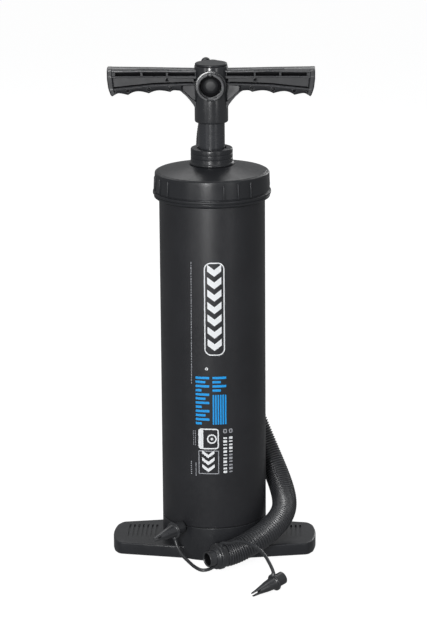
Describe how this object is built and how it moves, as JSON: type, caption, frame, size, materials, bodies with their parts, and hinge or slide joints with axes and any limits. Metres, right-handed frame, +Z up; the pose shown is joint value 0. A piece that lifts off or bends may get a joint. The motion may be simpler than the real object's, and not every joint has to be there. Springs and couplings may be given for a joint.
{
  "type": "hand pump",
  "caption": "Standing double action hand pump with a winged foot, a T handle on a hollow rod, a corrugated air hose and tethered nozzles.",
  "frame": {"origin": "centre of the foot's underside, on the barrel's axis", "axes": "+Z up along the barrel and rod, -Y is the front with the deflate port, +X is to the right seen from the front"},
  "size_m": [0.199, 0.24, 0.48],
  "materials": {
    "moulded_plastic": "satin, fine texture",
    "barrel_plastic": "satin",
    "hose_plastic": "soft satin",
    "guide_plastic": "natural, smooth",
    "seal_rubber": "matt",
    "steel": "bright"
  },
  "bodies": {
    "barrel": {"foot_base": "moulded_plastic", "barrel_tube": "barrel_plastic", "base_seal_ring": "seal_rubber", "cap_seal_ring": "seal_rubber", "bottom_buffer": "seal_rubber", "top_cap": "moulded_plastic", "gland_nut": "moulded_plastic", "rod_seal": "seal_rubber", "air_hose": "hose_plastic", "hose_end_cuff": "moulded_plastic", "hose_connector": "moulded_plastic", "tether_left": "hose_plastic", "tether_right": "hose_plastic", "nozzle_left": "moulded_plastic", "nozzle_right": "moulded_plastic"},
    "rod_guide": {"rod_guide": "guide_plastic"},
    "plunger": {"rod_tube": "moulded_plastic", "inner_air_tube": "steel", "stop_sleeve": "moulded_plastic", "stop_buffer": "seal_rubber", "piston_lower": "guide_plastic", "piston_upper": "guide_plastic", "piston_seal": "seal_rubber", "piston_screw_1": "steel", "piston_screw_2": "steel", "piston_screw_3": "steel", "piston_screw_4": "steel", "rod_nut": "steel", "handle_body": "moulded_plastic", "hub_top_cap": "moulded_plastic", "handle_screw_1": "steel", "handle_screw_2": "steel", "front_port_collar": "moulded_plastic", "front_port_plug": "seal_rubber", "rear_port_collar": "moulded_plastic", "hose_elbow": "moulded_plastic"},
    "intake_disc_upper": {"intake_valve_upper": "seal_rubber"},
    "delivery_disc_upper": {"delivery_valve_upper": "seal_rubber"},
    "intake_disc_lower": {"intake_valve_lower": "seal_rubber"},
    "delivery_disc_lower": {"delivery_valve_lower": "seal_rubber"}
  },
  "joints": [
    {"name": "handle_turn", "type": "hinge", "parent": "barrel", "child": "rod_guide", "pos_m": [0, 0, 0.35], "axis": [0, 0, 1], "range_deg": [-90, 90], "deforming": ["air_hose"]},
    {"name": "pump_stroke", "type": "slide", "parent": "rod_guide", "child": "plunger", "axis": [0, 0, 1], "range_m": [0, 0.24], "deforming": ["air_hose"]},
    {"name": "intake_upper_lift", "type": "slide", "parent": "plunger", "child": "intake_disc_upper", "axis": [0, 0, 1], "range_m": [0, 0.0015]},
    {"name": "delivery_upper_lift", "type": "slide", "parent": "plunger", "child": "delivery_disc_upper", "axis": [0, 0, 1], "range_m": [0, 0.0015]},
    {"name": "intake_lower_lift", "type": "slide", "parent": "plunger", "child": "intake_disc_lower", "axis": [0, 0, 1], "range_m": [0, 0.0015]},
    {"name": "delivery_lower_lift", "type": "slide", "parent": "plunger", "child": "delivery_disc_lower", "axis": [0, 0, 1], "range_m": [0, 0.0015]}
  ]
}
